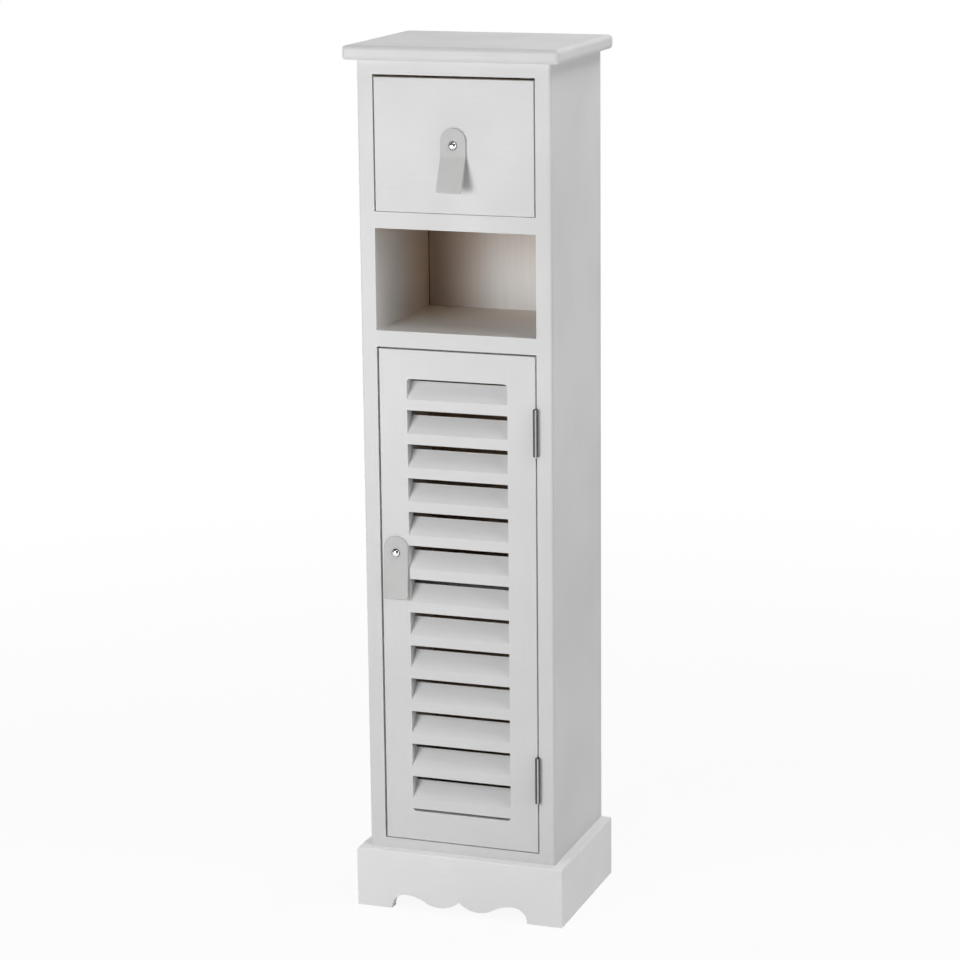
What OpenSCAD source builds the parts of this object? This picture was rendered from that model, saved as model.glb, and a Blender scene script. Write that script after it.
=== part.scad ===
// Narrow bathroom column cabinet: a drawer, an open niche and a louvred door over a scalloped plinth.
// The origin is on the floor, in the middle of the object's outline. +X is to the right, +Z is up,
// and the front faces -Y. Sizes are in millimetres.

/* [Carcass] */
// Height of the whole cabinet
overall_h = 1000; // [900:10:1200]
// Width over the two side boards
carcass_w = 226; // [205:1:320]
// Depth of the side boards
carcass_d = 178.5; // [165:0.5:320]
// Thickness of the side boards
side_t = 18.5; // [17:0.5:24]
// Thickness of the fixed boards between the sides
board_t = 18.5; // [16:0.5:24]
// Rounding of the side boards' outer front edges
side_edge_r = 3; // [1:0.5:6]
// Height of the two rails under the top
top_rail_h = 16; // [14:1:30]
// Depth of the two rails under the top
rail_d = 45; // [34:1:60]
// Thickness of the back panel
back_t = 5; // [3:0.5:8]
// Distance from the rear edges of the sides to the back panel
back_inset = 4.5; // [3:0.5:12]
// Depth of the back panel's grooves in the sides
back_groove_d = 6; // [4:0.5:8]

/* [Top] */
// Thickness of the top
top_t = 16; // [12:1:24]
// Rounding of the edges along the top's front and ends
top_edge_r = 5; // [3:0.5:5.5]
// How far the top stands out past each side board
top_side_overhang = 12.5; // [9:0.5:25]
// How far the top stands out past the front
top_front_overhang = 12.5; // [9:0.5:25]
// How far the top stands out past the back
top_back_overhang = 5.5; // [0:0.5:10]
// Rounding of the top's front corners, seen from above
top_corner_r = 4; // [2:0.5:8]

/* [Openings] */
// Height of the drawer's opening
drawer_open_h = 152; // [110:1:180]
// Height of the open niche
niche_h = 115.5; // [80:0.5:160]
// Height of the door compartment's floor above the ground
floor_h = 82; // [78:1:110]

/* [Plinth] */
// Height of the plinth
plinth_h = 70; // [60:1:76]
// Thickness of the plinth boards
plinth_t = 12.5; // [9:0.5:18]
// Rounding of the plinth's outer top edges
plinth_edge_r = 2; // [1:0.5:4]
// Width of each foot left by the scallop
foot_w = 42.5; // [36:0.5:50]
// Radius of the arc that rises from each foot
foot_r = 17; // [14:0.5:18]
// Height of the scallop's two crests
crest_h = 18; // [17.5:0.5:24]
// Height of the scallop's two low points
low_h = 6.5; // [4:0.5:9]
// Distance of each low point from the middle
low_x = 24; // [20:0.5:28]
// Height of the point in the middle of the scallop
cusp_h = 16; // [13:0.5:19]

/* [Drawer] */
// Gap at each side of the drawer
drawer_side_gap = 1.4; // [0.8:0.1:3]
// Gap over the drawer's front
drawer_top_gap = 2.7; // [1:0.1:4]
// Running gap under the drawer
drawer_bottom_gap = 0.3; // [0.2:0.1:0.9]
// Thickness of the drawer's front
drawer_front_t = 16; // [14:0.5:20]
// Rounding of the edges round the drawer's front
drawer_edge_r = 1; // [0.5:0.25:2]
// Thickness of the drawer's sides and back
drawer_side_t = 10; // [9:0.5:14]
// How far the drawer's sides stop below the top of its front
drawer_side_drop = 10; // [4:1:40]
// Thickness of the drawer's bottom
drawer_bottom_t = 4; // [3:0.5:6]
// Height of the drawer's bottom above the lower edges of its sides
drawer_bottom_rise = 8; // [6:0.5:14]
// Depth of the grooves that hold the drawer's bottom
drawer_groove_d = 5; // [3:0.5:6]
// Depth of the blocks that stop the drawer at the back
stop_d = 10; // [6:1:20]
// Width and height of those blocks
stop_w = 20; // [12:1:30]

/* [Door] */
// Thickness of the door and depth of its slats
door_t = 15; // [14:0.5:19]
// Rounding of the edges round the door's front
door_edge_r = 1; // [0.5:0.25:2]
// Gap on the side that opens
lock_gap = 2.1; // [2:0.1:4]
// Gap on the hinge side
hinge_gap = 1.5; // [1:0.1:2.5]
// Gap over the door
door_top_gap = 2; // [1:0.1:3]
// Gap under the door
door_bottom_gap = 1; // [0.5:0.1:3]
// Width of the door's stiles
stile_w = 33; // [28:1:45]
// Height of the door's top rail
door_top_rail_h = 33; // [28:1:60]
// Height of the door's bottom rail
door_bottom_rail_h = 35; // [28:1:60]
// Rounding of the louvre window's corners
window_corner_r = 4; // [2:0.5:6]

/* [Louvre] */
// Number of slats
slat_count = 13; // [11:1:15]
// Height of each slat's upright front edge
slat_nose_h = 12.3; // [8:0.1:15]
// Rise of each slat from front to back
slat_rise = 18.7; // [12:0.1:24]
// Length of the tongues that hold the slats in the stiles
slat_tongue_len = 6; // [3:0.5:10]
// Distance from the door's front to the slats' tongues
slat_tongue_setback = 4; // [2:0.5:8]
// Slit under the lowest slat
bottom_slit = 3; // [1:0.1:4]
// Slit over the back edge of the highest slat
top_slit = 4.9; // [2:0.1:8]

/* [Hinges] */
// Length of each hinge
hinge_len = 54; // [44:1:70]
// Distance from the door's top edge to the upper hinge
upper_hinge_drop = 58.5; // [40:0.5:100]
// Distance from the door's bottom edge to the lower hinge
lower_hinge_rise = 61; // [40:1:100]
// Outer diameter of the hinge barrel
barrel_d = 5.5; // [4.5:0.1:7]
// Gap between the hinge barrel and the door's front
barrel_gap = 0.35; // [0.35:0.05:1]
// Diameter of the hinge pin
hinge_pin_d = 2.5; // [2:0.1:2.8]
// Thickness of the hinge leaves
leaf_t = 1.2; // [0.8:0.1:2]
// How far the hinge leaves reach in behind the front
leaf_in = 12; // [9:0.5:13]

/* [Pull tabs] */
// Width of the pull tabs
tab_w = 29.5; // [20:0.5:34]
// Length of the pull tabs
tab_len = 73.5; // [60:0.5:90]
// Thickness of the pull tabs
tab_t = 2.5; // [1.5:0.1:4]
// Distance from a tab's rounded end to its screw
tab_hole_down = 19.5; // [14:0.5:24]
// Outer radius of the bend below the screw
tab_bend_r = 25; // [15:1:40]
// Angle at which the drawer's tab stands off
drawer_tab_angle = 22; // [5:1:35]
// Angle at which the door's tab stands off
door_tab_angle = 4; // [1:0.5:12]
// Height of the drawer's pull screw above the middle of its front
drawer_pull_rise = 1.4; // [-20:0.1:30]
// Distance from the door's edge to its pull screw
door_pull_in = 17.5; // [16:0.5:24]
// Height of the door's pull screw above the door compartment's floor
door_pull_h = 344; // [120:0.5:420]
// Diameter of a pull screw's domed head
pull_head_d = 10; // [8:0.5:14]
// Height of a pull screw's domed head
pull_head_h = 3; // [2:0.25:4]
// Diameter of a pull screw's shank
pull_shank_d = 4; // [3:0.5:5]
// Length of a pull screw's shank
pull_shank_len = 14; // [10:0.5:15]

/* [Inside] */
// Thickness of the loose shelf
shelf_t = 12; // [9:0.5:19]
// Height of the shelf's underside above the compartment's floor
shelf_h = 284; // [150:1:380]
// Distance from the door to the shelf's front edge
shelf_setback = 8; // [3:1:40]
// Diameter of the shelf pins
shelf_pin_d = 5; // [4:0.5:6]
// Depth to which the shelf pins go into the sides
shelf_pin_in = 8; // [6:0.5:10]
// Diameter of the carcass dowels
dowel_d = 8; // [6:0.5:8]
// Length of the carcass dowels
dowel_len = 30; // [24:1:36]
// Depth to which the carcass dowels go into the sides
dowel_in = 11; // [8:0.5:13]
// Distance of the magnetic catch from the middle, to the opening side
catch_x = 30; // [24:1:36]
// Width of the catch's mounting plate
catch_w = 46; // [40:1:54]
// Height of the catch
catch_h = 12; // [8:0.5:14]
// Depth of the catch
catch_d = 14; // [10:0.5:20]

/* [Hidden] */
$fn = 96;
// Play of a screw, dowel or pin in its hole, on the radius
play = 0.05;
// Play of a panel in its groove, and of a dowel or screw past its end
slot_play = 0.3;
// How far a cut runs past the piece that it cuts
past = 1;

// Heights, from the floor up
board_low_z = floor_h - board_t;
top_under_z = overall_h - top_t;
rail_under_z = top_under_z - top_rail_h;
drawer_floor_z = rail_under_z - drawer_open_h;
niche_top_z = drawer_floor_z - board_t;
niche_floor_z = niche_top_z - niche_h;
door_open_top_z = niche_floor_z - board_t;

// Widths and depths of the carcass, measured from the front face
inner_x = carcass_w / 2 - side_t;
outer_x = carcass_w / 2;
back_y = carcass_d - back_inset - back_t;

// Door and louvre window
door_x0 = -inner_x + lock_gap;
door_x1 = inner_x - hinge_gap;
door_z0 = floor_h + door_bottom_gap;
door_z1 = door_open_top_z - door_top_gap;
window_x0 = door_x0 + stile_w;
window_x1 = door_x1 - stile_w;
window_z0 = door_z0 + door_bottom_rail_h;
window_z1 = door_z1 - door_top_rail_h;
slat_span = window_z1 - window_z0 - bottom_slit - top_slit - slat_nose_h - slat_rise;
slat_pitch = slat_span / (slat_count - 1);

// Hinges
knuckle_count = 4;
knuckle_gap = 0.2;
knuckle_clear = 0.3;
leaf_screw_count = 3;
leaf_screw_inset = 8;
leaf_screw_len = 12;
leaf_screw_d = 3;
leaf_screw_head_d = 5.2;
hinge_x = door_x1 + hinge_gap / 2;
hinge_y = -barrel_d / 2 - barrel_gap;
hinge_z = [door_z0 + lower_hinge_rise, door_z1 - upper_hinge_drop - hinge_len];

// Drawer
drawer_x = inner_x - drawer_side_gap;
drawer_z0 = drawer_floor_z + drawer_bottom_gap;
drawer_z1 = rail_under_z - drawer_top_gap;
drawer_side_z1 = drawer_z1 - drawer_side_drop;
drawer_in_x = drawer_x - drawer_side_t;
drawer_stop_gap = 0.5;
drawer_end_y = back_y - stop_d - drawer_stop_gap;
drawer_back_y = drawer_end_y - drawer_side_t;
drawer_bottom_z = drawer_z0 + drawer_bottom_rise;
drawer_dowel_d = 5;
drawer_dowel_len = 24;
drawer_dowel_in_front = 8;
drawer_dowel_in_side = 6;
drawer_dowel_rise = 35;
drawer_dowel_drop = 30;
drawer_dowel_z = [drawer_z0 + drawer_dowel_rise, drawer_side_z1 - drawer_dowel_drop];

// Pull tabs
bend_start = 7;
bend_steps = 8;
drawer_pull_z = (drawer_z0 + drawer_z1) / 2 + drawer_pull_rise;
door_pull_x = door_x0 + door_pull_in;
door_pull_z = floor_h + door_pull_h;
pull_dome_r = (pow(pull_head_d / 2, 2) + pow(pull_head_h, 2)) / (2 * pull_head_h);

// Dowels, rails and screws
board_dowel_front = 30;
board_dowel_rear = 35;
board_dowel_y = [board_dowel_front, back_y - board_dowel_rear];
rail_dowel_y = [rail_d / 2, back_y - rail_d / 2];
board_dowel_z = [board_low_z + board_t / 2, door_open_top_z + board_t / 2, niche_top_z + board_t / 2];
rail_dowel_z = rail_under_z + top_rail_h / 2;
door_dowel_d = 6;
door_dowel_len = 36;
door_dowel_edge = 9;
top_screw_bite = 9.5;
top_screw_len = top_rail_h + top_screw_bite;
top_screw_d = 4;
top_screw_head_d = 8;
top_screw_head_h = 3;
top_screw_in = 34;
top_screw_x = inner_x - top_screw_in;
screw_tip_r = 0.4;

// Shelf
shelf_side_gap = 1;
shelf_back_gap = 1.5;
shelf_z = floor_h + shelf_h;
shelf_y0 = door_t + shelf_setback;
shelf_pin_front = 22;
shelf_pin_rear = 26;
shelf_pin_y = [shelf_y0 + shelf_pin_front, back_y - shelf_pin_rear];
shelf_lug_out = 8;
shelf_lug_w = 7;
shelf_lug_h = 5;

// Catch
catch_gap = 0.3;
catch_plate_w = 24;
catch_plate_h = 10;
catch_plate_t = 1.2;
catch_plate_drop = 1;
catch_ear_t = 2.5;
catch_ear_w = 9;
catch_wall = 3;
catch_lip = 1.5;
catch_screw_d = 3;
catch_screw_head_d = 5.6;
catch_screw_head_h = 1.6;
catch_screw_len = 12;
catch_plate_screw_len = 10;
catch_y = door_t + catch_plate_t + catch_gap;
catch_plate_z = door_z1 - catch_plate_h - catch_plate_drop;

// Plinth
block_w = 20;
block_lift = 2;
plinth_x = outer_x + plinth_t;
foot_inner_x = plinth_x - foot_w;
crest_x = foot_inner_x - foot_r;
low_r = (pow(low_x, 2) + pow(cusp_h - low_h, 2)) / (2 * (cusp_h - low_h));
crest_run = crest_x - low_x;
crest_r = (pow(crest_run, 2) + pow(crest_h - low_h, 2)) / (2 * (crest_h - low_h)) - low_r;
arc_steps = 12;

// How far the drawer's tab reaches in front of the carcass
function tab_straight(angle) = tab_len - tab_hole_down - bend_start - tab_bend_r * angle * PI / 180;
function tab_reach(angle) =
    tab_bend_r - (tab_bend_r - tab_t) * cos(angle) + tab_straight(angle) * sin(angle);
front_reach = max(plinth_t, top_front_overhang, tab_reach(drawer_tab_angle));
// The front face of the carcass, placed so that the whole outline is centred on Y = 0
front_y = (front_reach - carcass_d - top_back_overhang) / 2;

SLATS = [for (i = [1:slat_count]) str("louvre_slat_", i)];

paint = [0.86, 0.86, 0.86];
inner_paint = [0.83, 0.81, 0.78];
beech = [0.80, 0.66, 0.47];
ply = [0.78, 0.69, 0.55];
steel = [0.62, 0.62, 0.63];
chrome = [0.80, 0.81, 0.83];
leather = [0.74, 0.74, 0.73];
plastic = [0.93, 0.93, 0.91];

// Building helpers

// Moves pieces drawn from the front face of the carcass to their place
module at_front() {
    translate([0, front_y, 0]) children();
}

// A box between two corners
module box(low, high) {
    translate(low) cube(high - low);
}

// Extrudes an outline drawn in Y and Z along X
module along_x(x0, length) {
    translate([x0, 0, 0]) rotate([90, 0, 90]) linear_extrude(length) children();
}

// Extrudes an outline drawn in X and Z along Y
module along_y(y0, length) {
    translate([0, y0 + length, 0]) rotate([90, 0, 0]) linear_extrude(length) children();
}

// A round bar along X from one X to another
module bar_x(x0, x1, y, z, r) {
    translate([min(x0, x1), y, z]) rotate([0, 90, 0]) cylinder(h = abs(x1 - x0), r = r);
}

// A round bar along Y from one Y to another
module bar_y(x, y0, y1, z, r) {
    translate([x, min(y0, y1), z]) rotate([-90, 0, 0]) cylinder(h = abs(y1 - y0), r = r);
}

// A rectangle with one rounded corner, at its low X and high Y
module one_round_corner(w, h, r) {
    translate([r, 0]) square([w - r, h]);
    square([w, h - r]);
    translate([r, h - r]) circle(r);
}

// A rectangle with both corners at its low X rounded
module two_round_corners(w, h, r) {
    translate([r, 0]) square([w - r, h]);
    translate([0, r]) square([w, h - 2 * r]);
    translate([r, r]) circle(r);
    translate([r, h - r]) circle(r);
}

// A rectangle with all four corners rounded
module all_round_corners(w, h, r) {
    translate([r, 0]) square([w - 2 * r, h]);
    translate([0, r]) square([w, h - 2 * r]);
    for (x = [r, w - r], z = [r, h - r]) {
        translate([x, z]) circle(r);
    }
}

// A box between two corners, with the edges round its front face rounded
module eased_board(low, high, r) {
    size = high - low;
    intersection() {
        along_x(low[0], size[0])
            translate([low[1], low[2]]) two_round_corners(size[1], size[2], r);
        translate([high[0], low[1], low[2]]) linear_extrude(size[2])
            rotate(90) two_round_corners(size[1], size[0], r);
    }
}

// A countersunk wood screw that points down, with the top of its head at zero
module wood_screw(head_d, head_h, shank_d, length, grow = 0) {
    tip_h = shank_d;
    translate([0, 0, -head_h]) cylinder(h = head_h, r1 = shank_d / 2 + grow, r2 = head_d / 2 + grow);
    translate([0, 0, tip_h - length]) cylinder(h = length - tip_h - head_h / 2, r = shank_d / 2 + grow);
    translate([0, 0, -length - grow]) cylinder(h = tip_h + grow, r1 = screw_tip_r + grow, r2 = shank_d / 2 + grow);
}

// Carcass

module top_blank() {
    half_x = outer_x + top_side_overhang;
    y0 = -top_front_overhang;
    depth = top_front_overhang + carcass_d + top_back_overhang;
    intersection() {
        along_y(y0, depth)
            translate([-half_x, top_under_z]) all_round_corners(2 * half_x, top_t, top_edge_r);
        along_x(-half_x, 2 * half_x)
            translate([y0, top_under_z]) two_round_corners(depth, top_t, top_edge_r);
        translate([half_x, y0, top_under_z]) linear_extrude(top_t)
            rotate(90) two_round_corners(depth, 2 * half_x, top_corner_r);
    }
}

module top_panel() {
    color(paint) at_front() difference() {
        top_blank();
        top_screw_set(play);
    }
}

// The right-hand side board. The left one is its mirror image, without the hinges.
module side_board(hinged) {
    difference() {
        linear_extrude(top_under_z)
            translate([outer_x, carcass_d]) rotate(180) one_round_corner(side_t, carcass_d, side_edge_r);
        box([inner_x - past, back_y, board_low_z],
            [inner_x + back_groove_d, back_y + back_t + slot_play, top_under_z + past]);
        for (z = board_dowel_z, y = board_dowel_y) {
            bar_x(inner_x - past, inner_x + dowel_in + slot_play, y, z, dowel_d / 2 + play);
        }
        for (y = rail_dowel_y) {
            bar_x(inner_x - past, inner_x + dowel_in + slot_play, y, rail_dowel_z, dowel_d / 2 + play);
        }
        for (y = shelf_pin_y) {
            bar_x(inner_x - past, inner_x + shelf_pin_in + slot_play, y,
                shelf_z - shelf_lug_h / 2, shelf_pin_d / 2 + play);
        }
        if (hinged) {
            for (z = hinge_z) {
                box([inner_x - past, -past, z], [inner_x + leaf_t, leaf_in, z + hinge_len]);
            }
            frame_screw_set(play);
        }
    }
}

module right_side_panel() {
    color(paint) at_front() side_board(true);
}

module left_side_panel() {
    color(paint) at_front() mirror([1, 0, 0]) side_board(false);
}

// Holes for the dowels at both ends of a board or rail
module end_dowel_holes(y_list, z) {
    for (y = y_list, side = [-1, 1]) {
        bar_x(side * (inner_x + past), side * (inner_x - dowel_len + dowel_in - slot_play), y, z,
            dowel_d / 2 + play);
    }
}

module top_rail() {
    color(paint) at_front() difference() {
        box([-inner_x, 0, rail_under_z], [inner_x, rail_d, top_under_z]);
        end_dowel_holes([rail_dowel_y[0]], rail_dowel_z);
        top_screw_set(play);
    }
}

module back_rail() {
    color(inner_paint) at_front() difference() {
        box([-inner_x, back_y - rail_d, rail_under_z], [inner_x, back_y, top_under_z]);
        end_dowel_holes([rail_dowel_y[1]], rail_dowel_z);
        top_screw_set(play);
    }
}

// A fixed board that runs from the front to the back panel
module fixed_board(z) {
    difference() {
        box([-inner_x, 0, z], [inner_x, back_y, z + board_t]);
        end_dowel_holes(board_dowel_y, z + board_t / 2);
    }
}

module divider_board() {
    color(paint) at_front() fixed_board(niche_top_z);
}

module niche_board() {
    color(paint) at_front() difference() {
        fixed_board(door_open_top_z);
        catch_screw_set(play);
    }
}

module bottom_board() {
    color(paint) at_front() fixed_board(board_low_z);
}

module back_panel() {
    edge_x = inner_x + back_groove_d - slot_play;
    color(inner_paint) at_front()
        box([-edge_x, back_y, board_low_z], [edge_x, back_y + back_t, top_under_z]);
}

module carcass_dowel(side, y, z) {
    bar_x(side * (inner_x + dowel_in), side * (inner_x + dowel_in - dowel_len), y, z, dowel_d / 2);
}

module carcass_dowels() {
    color(beech) at_front() for (side = [-1, 1]) {
        for (z = board_dowel_z, y = board_dowel_y) {
            carcass_dowel(side, y, z);
        }
        for (y = rail_dowel_y) {
            carcass_dowel(side, y, rail_dowel_z);
        }
    }
}

// The screws that hold the top, pointing up through both rails
module top_screw_set(grow) {
    for (x = [-top_screw_x, top_screw_x], y = rail_dowel_y) {
        translate([x, y, rail_under_z]) rotate([180, 0, 0])
            wood_screw(top_screw_head_d, top_screw_head_h, top_screw_d, top_screw_len, grow);
    }
}

module top_screws() {
    color(steel) at_front() top_screw_set(0);
}

// Plinth

// Points along an arc in X and Z, without its last one
function arc_points(x, z, r, from, to) = [
    for (i = [0:arc_steps - 1]) let (a = from + (to - from) * i / arc_steps) [x + r * cos(a), z + r * sin(a)]
];

// The scalloped edge from the cusp in the middle to the right foot: a low arc, a crest and a quarter circle
function scallop_edge() = let (
    low_z = low_h + low_r,
    crest_z = crest_h - crest_r,
    foot_z = crest_h - foot_r,
    cusp_a = atan2(cusp_h - low_z, -low_x),
    meet_a = atan2(crest_z - low_z, crest_run)
) concat(
    arc_points(low_x, low_z, low_r, cusp_a, meet_a),
    arc_points(crest_x, crest_z, crest_r, meet_a + 180, 90),
    arc_points(crest_x, foot_z, foot_r, 90, 0),
    [[foot_inner_x, foot_z], [foot_inner_x, -past]]
);

// The area under the whole scalloped edge
module scallop() {
    right = scallop_edge();
    left = [for (i = [len(right) - 1:-1:1]) [-right[i][0], right[i][1]]];
    polygon(concat(left, right));
}

// Keeps the wedge of the plinth in front of the mitred corners
module front_mitre() {
    linear_extrude(plinth_h) polygon([
        [-plinth_x, -plinth_t], [plinth_x, -plinth_t], [outer_x, 0], [-outer_x, 0]
    ]);
}

module plinth_front() {
    color(paint) at_front() difference() {
        intersection() {
            along_x(-plinth_x, 2 * plinth_x)
                translate([-plinth_t, 0]) one_round_corner(plinth_t, plinth_h, plinth_edge_r);
            front_mitre();
        }
        along_y(-plinth_t - past, plinth_t + 2 * past) scallop();
    }
}

module plinth_side() {
    difference() {
        along_y(-plinth_t, plinth_t + carcass_d)
            translate([plinth_x, 0]) mirror([1, 0]) one_round_corner(plinth_t, plinth_h, plinth_edge_r);
        translate([0, 0, -past]) linear_extrude(plinth_h + 2 * past) polygon([
            [outer_x - past, -plinth_t - past], [plinth_x + past, -plinth_t - past], [outer_x - past, past]
        ]);
    }
}

module plinth_right() {
    color(paint) at_front() plinth_side();
}

module plinth_left() {
    color(paint) at_front() mirror([1, 0, 0]) plinth_side();
}

module corner_blocks() {
    color(beech) at_front() for (side = [0, 1]) {
        mirror([side, 0, 0]) box([inner_x - block_w, 0, crest_h + block_lift], [inner_x, block_w, board_low_z]);
    }
}

// Shelf and catch

module shelf() {
    shelf_x = inner_x - shelf_side_gap;
    color(inner_paint) at_front()
        box([-shelf_x, shelf_y0, shelf_z], [shelf_x, back_y - shelf_back_gap, shelf_z + shelf_t]);
}

module shelf_pins() {
    color(steel) at_front() for (side = [0, 1], y = shelf_pin_y) {
        mirror([side, 0, 0]) {
            bar_x(inner_x, inner_x + shelf_pin_in, y, shelf_z - shelf_lug_h / 2, shelf_pin_d / 2);
            box([inner_x - shelf_lug_out, y - shelf_lug_w / 2, shelf_z - shelf_lug_h],
                [inner_x, y + shelf_lug_w / 2, shelf_z]);
        }
    }
}

// The screws that hold the catch, pointing up into the board over the door
module catch_screw_set(grow) {
    for (side = [-1, 1]) {
        x = -catch_x + side * (catch_w / 2 - catch_ear_w / 2);
        translate([x, catch_y + catch_d / 2, door_open_top_z - catch_ear_t]) rotate([180, 0, 0])
            wood_screw(catch_screw_head_d, catch_screw_head_h, catch_screw_d, catch_screw_len, grow);
    }
}

module magnet_catch() {
    housing_w = catch_w - 2 * catch_ear_w;
    color(plastic) at_front() difference() {
        union() {
            box([-catch_x - catch_w / 2, catch_y, door_open_top_z - catch_ear_t],
                [-catch_x + catch_w / 2, catch_y + catch_d, door_open_top_z]);
            box([-catch_x - housing_w / 2, catch_y, door_open_top_z - catch_h],
                [-catch_x + housing_w / 2, catch_y + catch_d, door_open_top_z - catch_ear_t]);
        }
        catch_screw_set(play);
        box([-catch_x - housing_w / 2 + catch_wall, catch_y - past, door_open_top_z - catch_h + catch_lip],
            [-catch_x + housing_w / 2 - catch_wall, catch_y + catch_lip,
                door_open_top_z - catch_ear_t - catch_lip]);
    }
}

module catch_screws() {
    color(steel) at_front() catch_screw_set(0);
}

// Hinges

// The stretch of the barrel that belongs to one knuckle, as a bare cylinder
module knuckle(index, z0, r, shorten) {
    step = hinge_len / knuckle_count;
    translate([hinge_x, hinge_y, z0 + index * step + shorten / 2]) cylinder(h = step - shorten, r = r);
}

// A leaf with its knuckles: x_near and x_far are the plate's faces, first its lowest knuckle
module hinge_leaf(z0, x_near, x_far, first) {
    other = 1 - first;
    difference() {
        union() {
            box([min(x_near, x_far), hinge_y, z0], [max(x_near, x_far), leaf_in, z0 + hinge_len]);
            for (k = [first:2:knuckle_count - 1]) {
                knuckle(k, z0, barrel_d / 2, knuckle_gap);
            }
        }
        for (k = [other:2:knuckle_count - 1]) {
            knuckle(k, z0, barrel_d / 2 + knuckle_clear, -knuckle_gap);
        }
        translate([hinge_x, hinge_y, z0 - past]) cylinder(h = hinge_len + 2 * past, r = hinge_pin_d / 2 + play);
        leaf_screws(z0, x_near, x_far, play);
    }
}

// The countersunk screws of one leaf, driven from its near face
module leaf_screws(z0, x_near, x_far, grow) {
    spread = (hinge_len - 2 * leaf_screw_inset) / (leaf_screw_count - 1);
    turn = x_far > x_near ? -90 : 90;
    for (i = [0:leaf_screw_count - 1]) {
        translate([x_near, leaf_in / 2, z0 + leaf_screw_inset + i * spread]) rotate([0, turn, 0])
            wood_screw(leaf_screw_head_d, leaf_t, leaf_screw_d, leaf_screw_len, grow);
    }
}

module frame_screw_set(grow) {
    for (z = hinge_z) {
        leaf_screws(z, inner_x, inner_x + leaf_t, grow);
    }
}

module door_screw_set(grow) {
    for (z = hinge_z) {
        leaf_screws(z, door_x1, door_x1 - leaf_t, grow);
    }
}

module lower_frame_leaf() {
    color(steel) at_front() hinge_leaf(hinge_z[0], inner_x, inner_x + leaf_t, 0);
}

module upper_frame_leaf() {
    color(steel) at_front() hinge_leaf(hinge_z[1], inner_x, inner_x + leaf_t, 0);
}

module lower_door_leaf() {
    color(steel) at_front() hinge_leaf(hinge_z[0], door_x1, door_x1 - leaf_t, 1);
}

module upper_door_leaf() {
    color(steel) at_front() hinge_leaf(hinge_z[1], door_x1, door_x1 - leaf_t, 1);
}

module hinge_pin(z0) {
    translate([hinge_x, hinge_y, z0]) cylinder(h = hinge_len, r = hinge_pin_d / 2);
}

module lower_hinge_pin() {
    color(steel) at_front() hinge_pin(hinge_z[0]);
}

module upper_hinge_pin() {
    color(steel) at_front() hinge_pin(hinge_z[1]);
}

module frame_hinge_screws() {
    color(steel) at_front() frame_screw_set(0);
}

module door_hinge_screws() {
    color(steel) at_front() door_screw_set(0);
}

// Pull tabs

// Points of a tab's side view, in Y and Z from its screw, down the back and up the front
function tab_profile(angle) = let (
    top = tab_hole_down,
    low = -bend_start,
    straight = tab_straight(angle),
    front_r = tab_bend_r - tab_t,
    end_y = -straight * sin(angle),
    end_z = -straight * cos(angle),
    bends = [for (i = [0:bend_steps]) angle * i / bend_steps]
) concat(
    [[0, top]],
    [for (a = bends) [-tab_bend_r + tab_bend_r * cos(a), low - tab_bend_r * sin(a)]],
    [[-tab_bend_r + tab_bend_r * cos(angle) + end_y, low - tab_bend_r * sin(angle) + end_z]],
    [[-tab_bend_r + front_r * cos(angle) + end_y, low - front_r * sin(angle) + end_z]],
    [for (i = [bend_steps:-1:0]) [-tab_bend_r + front_r * cos(bends[i]), low - front_r * sin(bends[i])]],
    [[-tab_t, top]]
);

// A soft strap with a rounded upper end, bent forward below its screw
module pull_tab(x, z, angle) {
    translate([x, 0, z]) difference() {
        intersection() {
            along_x(-tab_w / 2, tab_w) polygon(tab_profile(angle));
            along_y(-front_reach - past, front_reach + 2 * past) {
                translate([0, tab_hole_down - tab_w / 2]) circle(tab_w / 2);
                translate([-tab_w / 2, -tab_len]) square([tab_w, tab_len + tab_hole_down - tab_w / 2]);
            }
        }
        bar_y(0, -tab_t - past, past, 0, pull_shank_d / 2 + play);
    }
}

// A domed screw whose head sits on the tab
module pull_screw(x, z) {
    translate([x, -tab_t, z]) {
        intersection() {
            translate([0, pull_dome_r - pull_head_h, 0]) sphere(pull_dome_r);
            bar_y(0, -pull_head_h - past, 0, 0, pull_head_d / 2 + past);
        }
        bar_y(0, -pull_head_h / 2, pull_shank_len, 0, pull_shank_d / 2);
    }
}

module pull_screw_hole(x, z) {
    bar_y(x, -past, pull_shank_len - tab_t + slot_play, z, pull_shank_d / 2 + play);
}

module drawer_pull_tab() {
    color(leather) at_front() pull_tab(0, drawer_pull_z, drawer_tab_angle);
}

module drawer_pull_screw() {
    color(chrome) at_front() pull_screw(0, drawer_pull_z);
}

module door_pull_tab() {
    color(leather) at_front() pull_tab(door_pull_x, door_pull_z, door_tab_angle);
}

module door_pull_screw() {
    color(chrome) at_front() pull_screw(door_pull_x, door_pull_z);
}

// Drawer

// The groove that runs round the drawer and holds its bottom
module drawer_groove() {
    reach = drawer_groove_d + slot_play;
    box([-drawer_in_x - reach, drawer_front_t - reach, drawer_bottom_z],
        [drawer_in_x + reach, drawer_back_y + reach, drawer_bottom_z + drawer_bottom_t + slot_play]);
}

// Dowels along Y between the front and the sides, and along X between the sides and the back
module drawer_dowel_set(grow, extra) {
    for (side = [-1, 1], z = drawer_dowel_z) {
        bar_y(side * (drawer_x - drawer_side_t / 2), drawer_front_t - drawer_dowel_in_front - extra,
            drawer_front_t - drawer_dowel_in_front + drawer_dowel_len + extra, z, drawer_dowel_d / 2 + grow);
        bar_x(side * (drawer_in_x + drawer_dowel_in_side + extra),
            side * (drawer_in_x + drawer_dowel_in_side - drawer_dowel_len - extra),
            drawer_back_y + drawer_side_t / 2, z, drawer_dowel_d / 2 + grow);
    }
}

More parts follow.
